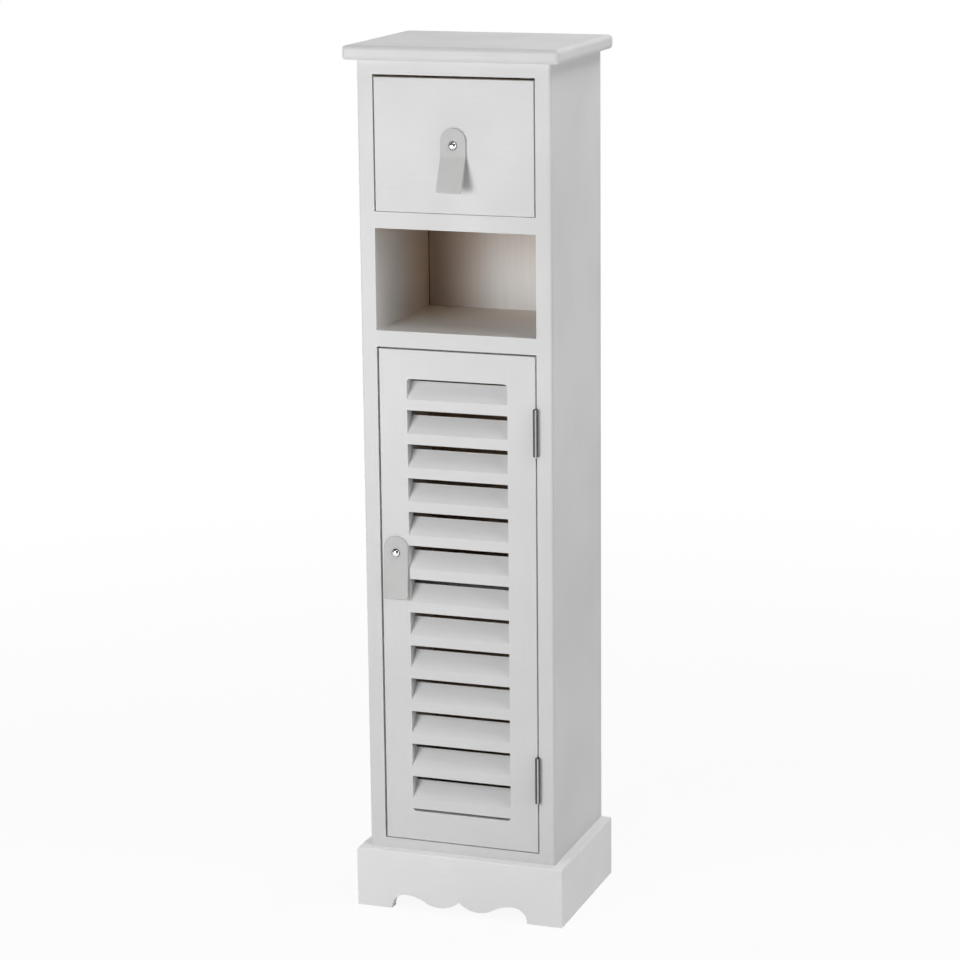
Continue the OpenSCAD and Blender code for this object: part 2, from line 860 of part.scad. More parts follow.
module drawer_front() {
    color(paint) at_front() difference() {
        eased_board([-drawer_x, 0, drawer_z0], [drawer_x, drawer_front_t, drawer_z1], drawer_edge_r);
        drawer_groove();
        drawer_dowel_set(play, slot_play);
        pull_screw_hole(0, drawer_pull_z);
    }
}

module drawer_side() {
    difference() {
        box([drawer_in_x, drawer_front_t, drawer_z0], [drawer_x, drawer_end_y, drawer_side_z1]);
        drawer_groove();
        drawer_dowel_set(play, slot_play);
    }
}

module drawer_right_side() {
    color(ply) at_front() drawer_side();
}

module drawer_left_side() {
    color(ply) at_front() mirror([1, 0, 0]) drawer_side();
}

module drawer_back() {
    color(ply) at_front() difference() {
        box([-drawer_in_x, drawer_back_y, drawer_z0], [drawer_in_x, drawer_end_y, drawer_side_z1]);
        drawer_groove();
        drawer_dowel_set(play, slot_play);
    }
}

module drawer_bottom() {
    color(ply) at_front()
        box([-drawer_in_x - drawer_groove_d, drawer_front_t - drawer_groove_d, drawer_bottom_z],
            [drawer_in_x + drawer_groove_d, drawer_back_y + drawer_groove_d,
                drawer_bottom_z + drawer_bottom_t]);
}

module drawer_dowels() {
    color(beech) at_front() drawer_dowel_set(0, 0);
}

module drawer_stops() {
    color(beech) at_front() for (side = [0, 1]) {
        mirror([side, 0, 0]) box([inner_x - stop_w, back_y - stop_d, drawer_floor_z],
            [inner_x, back_y, drawer_floor_z + stop_w]);
    }
}

// Door

// The door's board between two X values, with the eased edges round the whole door
module door_board(x0, x1) {
    intersection() {
        eased_board([door_x0, 0, door_z0], [door_x1, door_t, door_z1], door_edge_r);
        box([x0, -past, door_z0 - past], [x1, door_t + past, door_z1 + past]);
    }
}

// Side view of one slat: upright front and back edges, with the faces between them sloping up to the back
module slat_outline(index) {
    translate([0, window_z0 + bottom_slit + index * slat_pitch]) polygon([
        [0, 0], [0, slat_nose_h], [door_t, slat_nose_h + slat_rise], [door_t, slat_rise]
    ]);
}

// Side view of a slat's tongues, which stop behind the door's front
module tongue_outline(index) {
    intersection() {
        slat_outline(index);
        translate([slat_tongue_setback, door_z0]) square([door_t, door_z1 - door_z0]);
    }
}

module slat(index) {
    window_w = window_x1 - window_x0;
    color(paint) at_front() {
        along_x(window_x0, window_w) slat_outline(index);
        along_x(window_x0 - slat_tongue_len, window_w + 2 * slat_tongue_len) tongue_outline(index);
    }
}

// Dowels between the stiles and the two rails
module door_dowel_set(grow, extra) {
    half = door_dowel_len / 2 + extra;
    for (x = [window_x0, window_x1], z = [
        door_z0 + door_dowel_edge, window_z0 - door_dowel_edge,
        window_z1 + door_dowel_edge, door_z1 - door_dowel_edge
    ]) {
        bar_x(x - half, x + half, door_t / 2, z, door_dowel_d / 2 + grow);
    }
}

// The housings of the slats' tongues, between two X values
module slat_housings(x0, x1) {
    for (i = [0:slat_count - 1]) {
        along_x(x0, x1 - x0) tongue_outline(i);
    }
}

module door_left_stile() {
    color(paint) at_front() difference() {
        door_board(door_x0 - past, window_x0);
        slat_housings(window_x0 - slat_tongue_len, window_x0 + past);
        door_dowel_set(play, slot_play);
        pull_screw_hole(door_pull_x, door_pull_z);
    }
}

module door_right_stile() {
    color(paint) at_front() difference() {
        door_board(window_x1, door_x1 + past);
        slat_housings(window_x1 - past, window_x1 + slat_tongue_len);
        door_dowel_set(play, slot_play);
        for (z = hinge_z) {
            box([door_x1 - leaf_t, -past, z], [door_x1 + past, leaf_in, z + hinge_len]);
        }
        door_screw_set(play);
    }
}

// The little quarter fillets in both corners of the louvre window, over a rail's top edge
module window_fillets(depth) {
    r = window_corner_r;
    for (side = [0, 1]) {
        translate([side * (window_x1 - window_x0), 0]) mirror([side, 0]) intersection() {
            square([r, min(depth, r)]);
            difference() {
                square(r);
                translate([r, r]) circle(r);
            }
        }
    }
}

module door_bottom_rail() {
    color(paint) at_front() difference() {
        intersection() {
            door_board(window_x0, window_x1);
            along_y(-past, door_t + 2 * past) {
                translate([window_x0, door_z0 - past])
                    square([window_x1 - window_x0, door_bottom_rail_h + past]);
                translate([window_x0, window_z0]) window_fillets(bottom_slit);
            }
        }
        door_dowel_set(play, slot_play);
    }
}

module door_top_rail() {
    color(paint) at_front() difference() {
        intersection() {
            door_board(window_x0, window_x1);
            along_y(-past, door_t + 2 * past) {
                translate([window_x0, window_z1]) square([window_x1 - window_x0, door_top_rail_h + past]);
                translate([window_x0, window_z1]) mirror([0, 1]) window_fillets(top_slit);
            }
        }
        door_dowel_set(play, slot_play);
        catch_plate_screw_shape(play);
    }
}

module door_dowels() {
    color(beech) at_front() door_dowel_set(0, 0);
}

module catch_plate_screw_shape(grow) {
    translate([-catch_x, door_t + catch_plate_t, catch_plate_z + catch_plate_h / 2]) rotate([-90, 0, 0])
        wood_screw(catch_screw_head_d, catch_plate_t, catch_screw_d, catch_plate_screw_len, grow);
}

module catch_plate() {
    color(steel) at_front() difference() {
        box([-catch_x - catch_plate_w / 2, door_t, catch_plate_z],
            [-catch_x + catch_plate_w / 2, door_t + catch_plate_t, catch_plate_z + catch_plate_h]);
        catch_plate_screw_shape(play);
    }
}

module catch_plate_screw() {
    color(steel) at_front() catch_plate_screw_shape(0);
}

top_panel();
left_side_panel();
right_side_panel();
top_rail();
back_rail();
divider_board();
niche_board();
bottom_board();
back_panel();
plinth_front();
plinth_left();
plinth_right();
corner_blocks();
carcass_dowels();
top_screws();
shelf();
shelf_pins();
drawer_stops();
magnet_catch();
catch_screws();
upper_frame_leaf();
lower_frame_leaf();
upper_hinge_pin();
lower_hinge_pin();
frame_hinge_screws();
drawer_front();
drawer_left_side();
drawer_right_side();
drawer_back();
drawer_bottom();
drawer_dowels();
drawer_pull_tab();
drawer_pull_screw();
door_left_stile();
door_right_stile();
door_top_rail();
door_bottom_rail();
door_dowels();
upper_door_leaf();
lower_door_leaf();
door_hinge_screws();
catch_plate();
catch_plate_screw();
door_pull_tab();
door_pull_screw();
for (i = [1:slat_count]) slat(i - 1);
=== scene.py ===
"""Looks of a narrow white bathroom column cabinet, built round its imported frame."""
import math

import bmesh
import bpy
from mathutils import Matrix, Vector


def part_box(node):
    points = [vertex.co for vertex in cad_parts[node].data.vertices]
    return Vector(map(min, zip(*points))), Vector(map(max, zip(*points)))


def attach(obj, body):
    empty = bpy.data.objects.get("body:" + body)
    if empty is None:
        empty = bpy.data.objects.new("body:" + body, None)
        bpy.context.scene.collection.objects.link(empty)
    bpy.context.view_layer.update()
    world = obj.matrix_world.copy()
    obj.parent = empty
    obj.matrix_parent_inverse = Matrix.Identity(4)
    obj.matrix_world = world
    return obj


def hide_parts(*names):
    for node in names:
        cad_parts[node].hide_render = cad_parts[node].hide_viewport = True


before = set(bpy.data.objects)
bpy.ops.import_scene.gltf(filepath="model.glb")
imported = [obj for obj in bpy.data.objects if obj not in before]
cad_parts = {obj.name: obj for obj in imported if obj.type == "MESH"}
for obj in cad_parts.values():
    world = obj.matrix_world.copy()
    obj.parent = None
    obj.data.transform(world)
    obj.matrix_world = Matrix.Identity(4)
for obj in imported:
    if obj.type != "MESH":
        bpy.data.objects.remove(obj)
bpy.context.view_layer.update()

MM = 0.001

# Places read from the frame
FRONT_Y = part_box("left_side_panel")[0].y
INNER_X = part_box("top_rail")[1].x
INNER_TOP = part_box("top_panel")[0].z
BACK_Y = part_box("back_panel")[0].y
NICHE_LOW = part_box("niche_board")[1].z
NICHE_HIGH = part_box("divider_board")[0].z

# Camera, fitted to the cabinet's straight edges in the photograph
CAMERA_LENS = 114.931
CAMERA_SENSOR = 36
CAMERA_AZIMUTH = 19.6890
CAMERA_ELEVATION = 13.1775
CAMERA_ROLL = -0.5994
CAMERA_DISTANCE = 3.43495
CAMERA_TARGET = Vector((0.026894, FRONT_Y, 0.517707))

# Light: each lamp stands at an azimuth, elevation and distance from a height on the cabinet's front
WORLD_LEVEL = 0.08
MIRRORED_FRONT = 0.10
MIRRORED_BACK = 1.0
LAMPS = {
    "key": dict(power=11.7, azimuth=-24, elevation=0, distance=1.3, size=0.8, height=0.80),
    "front_top": dict(power=3.5, azimuth=10, elevation=55, distance=2.5, size=1.2, height=0.8),
    "right": dict(power=10, azimuth=76, elevation=10, distance=2.2, size=1.2, height=0.75),
    "right_top": dict(power=15, azimuth=75, elevation=60, distance=2.5, size=1.2, height=0.6),
    "back": dict(power=17, azimuth=150, elevation=50, distance=2.5, size=1.2, height=0.6),
    "left": dict(power=14, azimuth=-120, elevation=20, distance=2.5, size=1.2, height=0.6),
}

# Colours, linear, and the shares that darken or lighten them
PAINT = (0.74, 0.74, 0.74)
# Lighter copy of the white paint for the plinth, painting in the floor's bounce light
PLINTH_PAINT_LIT = (0.90, 0.90, 0.90)
PAINT_DRIFT = 0.95
PAINT_STREAK = 0.90
PAINT_PORE = (0.50, 0.49, 0.47)
PAINT_WORN = (0.88, 0.87, 0.85)
# Painted shade and warm bounce light, mixed in deep inside the cabinet and on the niche floor
DEEP_PAINTED_SHADE = (0.66, 0.54, 0.45)
NICHE_FLOOR_PAINTED_SHADE = (0.77, 0.725, 0.675)
BOARD_PAINT = (0.84, 0.84, 0.84)
BOARD_PAINT_SHADE = (0.80, 0.79, 0.78)
# Painted shade on the niche's back board, to the left and at the top
BOARD_PAINTED_SHADE = (0.48, 0.36, 0.275)
SEAM = (0.16, 0.12, 0.09)
BARE_WOOD = (0.62, 0.46, 0.29)
BARE_WOOD_DARK = (0.45, 0.30, 0.17)
BARE_WOOD_WORN = (0.70, 0.56, 0.38)
HARDBOARD = (0.27, 0.17, 0.10)
HARDBOARD_DARK = (0.17, 0.10, 0.055)
HARDBOARD_CLOUD = (0.33, 0.22, 0.13)
STEEL = (0.50, 0.50, 0.51)
STEEL_STAINED = 0.75
STEEL_WORN = 1.6
HINGE_STEEL = (0.10, 0.10, 0.097)
# Painted highlight line on the hinge barrels
HINGE_PAINTED_HIGHLIGHT = (0.58, 0.58, 0.57)
CHROME = (0.86, 0.87, 0.88)
CHROME_WIPED = (0.70, 0.71, 0.73)
# Painted dark ring of shade at the rim of the pull screws' heads
CHROME_RIM_PAINTED_SHADE = (0.10, 0.10, 0.10)
LEATHER = (0.60, 0.60, 0.595)
LEATHER_DARK = (0.54, 0.54, 0.535)
LEATHER_CREASE = (0.34, 0.34, 0.335)
LEATHER_WORN = (0.62, 0.62, 0.61)
PLASTIC = (0.82, 0.82, 0.80)
PLASTIC_CLOUD = (0.76, 0.76, 0.73)
FLOOR = (0.84, 0.84, 0.84)
FLOOR_GRAIN = (0.86, 0.86, 0.86)
WHITE = (1, 1, 1, 1)

# The way the painted highlight line on the hinge barrels faces
HINGE_PAINTED_HIGHLIGHT_SIDE = (0.42, -0.9075, 0)

# Pull straps, in metres
STRAP_T = 2.5 * MM
STRAP_HOLE_DOWN = 19.5 * MM
STRAP_LEN = 73.5 * MM
STRAP_BEND_START = 7 * MM
STRAP_BEND_R = 25 * MM
STRAP_CORNER_R = 2 * MM
STRAP_EDGE_R = 0.7 * MM
STRAP_DIMPLE = 0.35 * MM
STRAP_DIMPLE_R = 6.5 * MM
DRAWER_STRAP_ANGLE = math.radians(23.5)
DOOR_STRAP_ANGLE = math.radians(4)


class Nodes:
    """Builds the node tree of a material or world."""

    def __init__(self, holder):
        holder.use_nodes = True
        self.tree = holder.node_tree
        self.tree.nodes.clear()

    def node(self, kind, inputs=None, **settings):
        """A new node with its settings, and its inputs as values or as other nodes' outputs."""
        made = self.tree.nodes.new(kind)
        for key, value in settings.items():
            setattr(made, key, value)
        for key, value in (inputs or {}).items():
            if isinstance(value, bpy.types.NodeSocket):
                self.tree.links.new(value, made.inputs[key])
            else:
                made.inputs[key].default_value = value
        return made

    def math(self, operation, a, b=0.0):
        return self.node("ShaderNodeMath", {0: a, 1: b}, operation=operation).outputs[0]

    def times(self, a, b):
        return self.math("MULTIPLY", a, b)

    def vector(self, operation, a, b=(0, 0, 0)):
        """The result of a vector operation, which is a number for a dot product, a length or a distance."""
        made = self.node("ShaderNodeVectorMath", {0: a, 1: b}, operation=operation)
        number = operation in ("DOT_PRODUCT", "LENGTH", "DISTANCE")
        return made.outputs["Value" if number else "Vector"]

    def split(self, vector):
        """The X, Y and Z of a vector."""
        return self.node("ShaderNodeSeparateXYZ", {0: vector}).outputs

    def ramp(self, value, low, high, to_low=0.0, to_high=1.0):
        """Takes a value smoothly from one range to another."""
        inputs = {"Value": value, "From Min": low, "From Max": high, "To Min": to_low, "To Max": to_high}
        return self.node("ShaderNodeMapRange", inputs, interpolation_type="SMOOTHSTEP").outputs["Result"]


class Shader(Nodes):
    """Builds one material. A faceted one ignores the smoothing of the mesh."""

    def __init__(self, name, faceted=False):
        self.material = bpy.data.materials.new(name)
        super().__init__(self.material)
        self.place = self.node("ShaderNodeTexCoord").outputs["Object"]
        self.flat = self.node("ShaderNodeNewGeometry").outputs["True Normal" if faceted else "Normal"]

    def mix(self, factor, a, b):
        """Mixes two colours, given as three numbers or as outputs."""
        a, b = ((*c, 1) if isinstance(c, tuple) else c for c in (a, b))
        return self.node("ShaderNodeMix", {0: factor, 6: a, 7: b}, data_type="RGBA").outputs[2]

    def noise(self, stretch, detail=2.0, roughness=0.5):
        """Noise with its size per metre along X, Y and Z."""
        place = self.vector("MULTIPLY", self.place, stretch)
        inputs = {"Vector": place, "Scale": 1.0, "Detail": detail, "Roughness": roughness}
        return self.node("ShaderNodeTexNoise", inputs).outputs["Fac"]

    def bump(self, height, distance, normal=None):
        inputs = {"Height": height, "Distance": distance, "Strength": 1.0, "Normal": normal or self.flat}
        return self.node("ShaderNodeBump", inputs).outputs["Normal"]

    def edges(self, radius):
        """Near 1 along the sharp edges of a piece, and 0 on its flat faces."""
        rounded = self.node("ShaderNodeBevel", {"Radius": radius}, samples=4).outputs[0]
        return self.ramp(self.vector("DOT_PRODUCT", rounded, self.flat), 0.99, 0.80)

    def finish(self, **inputs):
        """The surface shader, with each input named with spaces as underscores."""
        named = {key.replace("_", " "): value for key, value in inputs.items()}
        surface = self.node("ShaderNodeBsdfPrincipled", named)
        self.node("ShaderNodeOutputMaterial", {"Surface": surface.outputs[0]})
        return self.material


def along(axis, low, high):
    """Noise sizes with the low one along one axis and the high one across it."""
    return tuple(low if name == axis else high for name in "xyz")


def toned(colour, share):
    """A colour made darker or lighter by one share."""
    return tuple(c * share for c in colour)


# Materials


def paint(name, axis, tone=PAINT, deep=DEEP_PAINTED_SHADE, faceted=False, bare_below=False):
    """Satin off-white paint over wood with its grain along one axis, with painted shade and warm bounce
    light deep inside the cabinet.
    """
    shade_from = FRONT_Y + 50 * MM
    inner_edge, outer_edge = 0.2 * MM, 0.4 * MM
    s = Shader(name, faceted)
    drift = s.noise((7, 7, 7), detail=3)
    streaks = s.noise(along(axis, 18, 420), detail=4, roughness=0.6)
    pores = s.ramp(s.noise(along(axis, 45, 1400), detail=1), 0.70, 0.80)
    texture = s.noise((900, 900, 900), detail=2)
    x, y, z = s.split(s.place)
    between = s.ramp(s.math("ABSOLUTE", x), INNER_X + outer_edge, INNER_X + inner_edge)
    inside = s.times(between, s.ramp(z, INNER_TOP + outer_edge, INNER_TOP + inner_edge))
    depth = s.ramp(y, shade_from, BACK_Y)
    colour = s.mix(s.ramp(drift, 0.3, 0.7), tone, toned(tone, PAINT_DRIFT))
    colour = s.mix(s.ramp(streaks, 0.35, 0.75, 0.0, 0.25), colour, toned(tone, PAINT_STREAK))
    colour = s.mix(s.times(pores, 0.16), colour, PAINT_PORE)
    # Painted shade and warm bounce light, growing towards the back inside the cabinet
    colour = s.mix(s.times(inside, depth), colour, deep)
    if bare_below:
        downward = s.ramp(s.split(s.flat)[2], -0.6, -0.8)
        colour = s.mix(downward, colour, BARE_WOOD)
    colour = s.mix(s.times(s.edges(0.8 * MM), 0.18), colour, PAINT_WORN)
    normal = s.bump(streaks, 0.035 * MM)
    normal = s.bump(texture, 0.02 * MM, normal)
    normal = s.bump(pores, -0.04 * MM, normal)
    rough = s.ramp(drift, 0.25, 0.75, 0.42, 0.54)
    return s.finish(Base_Color=colour, Roughness=rough, Normal=normal, Specular_IOR_Level=0.4)


def bare_wood(axis):
    """Bare light wood with its grain along one axis."""
    s = Shader("bare_wood_" + axis)
    rings = s.noise(along(axis, 3, 90), detail=3, roughness=0.6)
    bands = s.ramp(s.math("SINE", s.times(rings, 60.0)), -1.0, 1.0)
    fibre = s.noise(along(axis, 25, 1600), detail=2)
    colour = s.mix(s.times(bands, 0.45), BARE_WOOD, BARE_WOOD_DARK)
    colour = s.mix(s.ramp(fibre, 0.4, 0.8, 0.0, 0.5), colour, BARE_WOOD_DARK)
    colour = s.mix(s.times(s.edges(0.6 * MM), 0.25), colour, BARE_WOOD_WORN)
    rough = s.ramp(fibre, 0.3, 0.7, 0.55, 0.72)
    return s.finish(Base_Color=colour, Roughness=rough, Normal=s.bump(fibre, 0.04 * MM))


def niche_paint(s, x, z):
    """The paint on the back board in the niche, with painted shade darkening it to the left and upwards,
    and dark side seams.
    """
    shade_from_z = NICHE_LOW + 10 * MM
    darkest_x = 18 * MM - INNER_X
    seam_out, seam_in = 1.0 * MM, 1.6 * MM
    streaks = s.noise(along("z", 12, 260), detail=4, roughness=0.6)
    painted = s.mix(s.ramp(streaks, 0.35, 0.75), BOARD_PAINT, BOARD_PAINT_SHADE)
    # Painted shade, stronger upwards and to the left
    painted = s.mix(s.ramp(z, shade_from_z, NICHE_HIGH, 0.0, 0.45), painted, BOARD_PAINTED_SHADE)
    painted = s.mix(s.ramp(x, 0.0, darkest_x, 0.0, 0.78), painted, BOARD_PAINTED_SHADE)
    beside = s.ramp(s.math("ABSOLUTE", x), INNER_X - seam_in, INNER_X - seam_out)
    return s.mix(beside, painted, SEAM)


def back_board():
    """Thin brown fibreboard, painted where it closes the open niche."""
    s = Shader("back_board", faceted=True)
    fleck = s.noise((1100, 1100, 1100), detail=3, roughness=0.7)
    cloud = s.noise((14, 14, 14), detail=3)
    x, y, z = s.split(s.place)
    forward = s.ramp(s.split(s.flat)[1], -0.4, -0.6)
    in_niche = s.times(s.math("GREATER_THAN", z, NICHE_LOW), s.math("LESS_THAN", z, NICHE_HIGH))
    brown = s.mix(s.ramp(fleck, 0.35, 0.75), HARDBOARD, HARDBOARD_DARK)
    brown = s.mix(s.ramp(cloud, 0.35, 0.75, 0.0, 0.35), brown, HARDBOARD_CLOUD)
    colour = s.mix(s.times(forward, in_niche), brown, niche_paint(s, x, z))
    rough = s.ramp(fleck, 0.3, 0.7, 0.50, 0.68)
    return s.finish(Base_Color=colour, Roughness=rough, Normal=s.bump(fleck, 0.05 * MM))


def steel(name, tone, smoothest, painted_highlight=None):
    """Satin steel with upright brush lines, a little stained, lighter at its edges, with a painted
    highlight line on one side.
    """
    s = Shader(name)
    lines = s.noise(along("z", 60, 4000), detail=2)
    stain = s.noise((180, 180, 180), detail=3)
    colour = s.mix(s.ramp(stain, 0.45, 0.8, 0.0, 0.6), tone, toned(tone, STEEL_STAINED))
    colour = s.mix(s.times(s.edges(0.3 * MM), 0.5), colour, toned(tone, STEEL_WORN))
    # A painted highlight line where the barrel faces one fixed way
    if painted_highlight:
        towards_highlight = s.vector("DOT_PRODUCT", s.flat, HINGE_PAINTED_HIGHLIGHT_SIDE)
        colour = s.mix(s.ramp(towards_highlight, 0.95, 0.99), colour, painted_highlight)
    rough = s.ramp(lines, 0.3, 0.7, smoothest, smoothest + 0.12)
    return s.finish(Base_Color=colour, Metallic=1.0, Roughness=rough, Normal=s.bump(lines, 0.002 * MM))


def chrome():
    """Polished chrome with faint wipe marks and a painted dark ring of shade at the rim of a round head."""
    head_axis = (0.5, 0, 0.5)
    rim_from, rim_full = 0.41, 0.45
    s = Shader("chrome")
    wipes = s.noise((500, 500, 500), detail=3)
    colour = s.mix(s.ramp(wipes, 0.5, 0.9, 0.0, 0.3), CHROME, CHROME_WIPED)
    box_place = s.node("ShaderNodeTexCoord").outputs["Generated"]
    across = s.vector("MULTIPLY", box_place, (1, 0, 1))
    from_axis = s.vector("DISTANCE", across, head_axis)
    # Painted shade: a dark ring at the head's rim
    colour = s.mix(s.ramp(from_axis, rim_from, rim_full), colour, CHROME_RIM_PAINTED_SHADE)
    rough = s.ramp(wipes, 0.3, 0.8, 0.04, 0.11)
    return s.finish(Base_Color=colour, Metallic=1.0, Roughness=rough)


def leather():
    """Smooth light grey imitation leather with a fine pebbled grain."""
    s = Shader("strap_leather")
    cells = s.node("ShaderNodeTexVoronoi", {"Vector": s.place, "Scale": 1300.0}, feature="DISTANCE_TO_EDGE")
    grain = s.ramp(cells.outputs["Distance"], 0.0, 0.35)
    cloud = s.noise((60, 60, 60), detail=3)
    colour = s.mix(s.ramp(cloud, 0.3, 0.7, 0.0, 0.5), LEATHER, LEATHER_DARK)
    colour = s.mix(s.ramp(grain, 0.0, 0.6, 0.14, 0.0), colour, LEATHER_CREASE)
    colour = s.mix(s.times(s.edges(0.8 * MM), 0.35), colour, LEATHER_WORN)
    rough = s.ramp(grain, 0.0, 1.0, 0.62, 0.46)
    normal = s.bump(s.noise((220, 220, 220), detail=2), 0.04 * MM, s.bump(grain, 0.03 * MM))
    return s.finish(Base_Color=colour, Roughness=rough, Normal=normal, Specular_IOR_Level=0.35)


def plastic():
    """White moulded plastic."""
    s = Shader("white_plastic")
    speckle = s.noise((2500, 2500, 2500), detail=1)
    cloud = s.noise((80, 80, 80), detail=2)
    colour = s.mix(s.ramp(cloud, 0.3, 0.7, 0.0, 0.4), PLASTIC, PLASTIC_CLOUD)
    rough = s.ramp(speckle, 0.3, 0.7, 0.42, 0.55)
    return s.finish(Base_Color=colour, Roughness=rough, Normal=s.bump(speckle, 0.01 * MM))


def floor_material():
    """Pale floor that keeps the cabinet's shadow near it and is plain white to the camera further out."""
    s = Shader("floor")
    fade_near, fade_far = 0.5, 2.2
    shadow_share = 0.08
    far = s.ramp(s.vector("LENGTH", s.place), fade_near, fade_far, 1.0 - shadow_share, 1.0)
    rays = s.node("ShaderNodeLightPath").outputs
    mirrored = s.math("MAXIMUM", rays["Is Glossy Ray"], rays["Is Transmission Ray"])
    seen = s.math("MAXIMUM", rays["Is Camera Ray"], mirrored)
    grain = s.noise((30, 30, 30), detail=3)
    colour = s.mix(s.ramp(grain, 0.3, 0.7), FLOOR, FLOOR_GRAIN)
    matt = s.node("ShaderNodeBsdfDiffuse", {"Color": colour})
    white = s.node("ShaderNodeEmission", {"Color": WHITE, "Strength": 1.0})
    mixed = s.node("ShaderNodeMixShader", {0: s.times(seen, far), 1: matt.outputs[0], 2: white.outputs[0]})
    s.node("ShaderNodeOutputMaterial", {"Surface": mixed.outputs[0]})
    return s.material


# Mesh helpers


def new_piece(name, verts, faces, smooth=True):
    """A mesh object in the scene, from points in metres in the row frame."""
    mesh = bpy.data.meshes.new(name)
    mesh.from_pydata([tuple(v) for v in verts], [], faces)
    mesh.validate()
    work = bmesh.new()
    work.from_mesh(mesh)
    bmesh.ops.recalc_face_normals(work, faces=work.faces)
    work.to_mesh(mesh)
    work.free()
    mesh.polygons.foreach_set("use_smooth", [smooth] * len(mesh.polygons))
    piece = bpy.data.objects.new(name, mesh)
    bpy.context.scene.collection.objects.link(piece)
    return piece


def revolve(name, profile, centre, steps=48):
    """A closed turned piece: profile is (radius, Y) from axis to axis, turned about a line along Y."""
    verts, faces = [], []
    ring = len(profile) - 2
    for i in range(steps):
        a = 2 * math.pi * i / steps
        for r, y in profile[1:-1]:
            verts.append(centre + Vector((r * math.cos(a), y, r * math.sin(a))))
    first, last = len(verts), len(verts) + 1
    verts.append(centre + Vector((0, profile[0][1], 0)))
    verts.append(centre + Vector((0, profile[-1][1], 0)))
    for i in range(steps):
        here, there = i * ring, (i + 1) % steps * ring
        faces.append((first, here, there))
        faces.append((last, there + ring - 1, here + ring - 1))
        for k in range(ring - 1):
            faces.append((here + k, here + k + 1, there + k + 1, there + k))
    return new_piece(name, verts, faces)


def dress(piece, material, body, replaced=()):
    """Gives a new piece its material, body, replaced nodes and slot."""
    piece.data.materials.append(material)
    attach(piece, body)
    if replaced:
        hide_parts(*replaced)
    return piece


# Pull straps and their screws


def middle(node):
    """The middle of a CAD node's box."""
    low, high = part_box(node)
    return (low + high) / 2


def strap_point(x, s, d, angle, origin):
    """Where a point of the flat strap goes: x across, s down from the screw, d out from its back face."""
    bend_end = STRAP_BEND_START + STRAP_BEND_R * angle
    a = max(0.0, min(s, bend_end) - STRAP_BEND_START) / STRAP_BEND_R
    r = STRAP_BEND_R - d
    y = r * math.cos(a) - STRAP_BEND_R
    z = -min(s, STRAP_BEND_START) - r * math.sin(a)
    past = max(0.0, s - bend_end)
    return origin + Vector((x, y - past * math.sin(a), z - past * math.cos(a)))


def strap_side(width, inset):
    """Half of the strap's outline, as (x, s) from its rounded end down to the bottom, drawn in by inset."""
    top_r = width / 2
    centre_s = top_r - STRAP_HOLE_DOWN
    low_s = STRAP_LEN - STRAP_HOLE_DOWN
    round_steps, side_steps, corner_steps = 14, 22, 4
    points = []
    for i in range(round_steps):
        a = math.pi / 2 * i / round_steps
        points.append(((top_r - inset) * math.sin(a), centre_s - (top_r - inset) * math.cos(a)))
    for i in range(side_steps + 1):
        s = centre_s + (low_s - STRAP_CORNER_R - centre_s) * i / side_steps
        points.append((top_r - inset, s))
    for i in range(1, corner_steps + 1):
        a = math.pi / 2 * i / corner_steps
        corner = STRAP_CORNER_R - inset
        x = top_r - STRAP_CORNER_R + corner * math.cos(a)
        points.append((x, low_s - STRAP_CORNER_R + corner * math.sin(a)))
    return points


def strap(name, node, screw, angle, body, material):
    """A soft strap with rounded edges, pressed in round its screw and bent forward below it."""
    low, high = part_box(node)
    width = high.x - low.x
    columns, round_rings = 12, 4
    screw_middle = middle(screw)
    origin = Vector((screw_middle.x, FRONT_Y, screw_middle.z))
    rings = []
    for k in range(round_rings + 1):
        a = math.pi / 2 * k / round_rings
        rings.append((STRAP_EDGE_R * (1 - math.sin(a)), STRAP_EDGE_R * (1 - math.cos(a))))
    back_rings = rings
    front_rings = [(inset, STRAP_T - depth) for inset, depth in reversed(rings)]
    verts, faces = [], []

    def add(x, s, d):
        press = math.exp(-(x * x + s * s) / STRAP_DIMPLE_R ** 2) * STRAP_DIMPLE * d / STRAP_T
        verts.append(strap_point(x, s, d - press, angle, origin))
        return len(verts) - 1

    def loop(inset, d):
        side = strap_side(width, inset)
        x, s = side[-1]
        bottom = [(x * (1 - 2 * j / columns), s) for j in range(1, columns)]
        left = [(-x, s) for x, s in reversed(side[1:])]
        return [add(x, s, d) for x, s in side + bottom + left]

    def face(inset, d, outline):
        side = strap_side(width, inset)
        rows = len(side) - 1
        grid = [[outline[0]] * (columns + 1)]
        for i in range(1, rows):
            x, s = side[i]
            inner = [add(x * (1 - 2 * j / columns), s, d) for j in range(1, columns)]
            grid.append([outline[i], *inner, outline[-i]])
        grid.append([outline[rows + j] for j in range(columns + 1)])
        for upper, lower in zip(grid, grid[1:]):
            for j in range(columns):
                corners = [upper[j], upper[j + 1], lower[j + 1], lower[j]]
                faces.append(tuple(dict.fromkeys(corners)))

    loops = [loop(inset, d) for inset, d in back_rings + front_rings]
    for inner, outer in zip(loops, loops[1:]):
        count = len(inner)
        for i in range(count):
            faces.append((inner[i], inner[(i + 1) % count], outer[(i + 1) % count], outer[i]))
    face(back_rings[0][0], back_rings[0][1], loops[0])
    face(front_rings[-1][0], front_rings[-1][1], loops[-1])
    piece = new_piece(name, verts, faces)
    return dress(piece, material, body, [node])


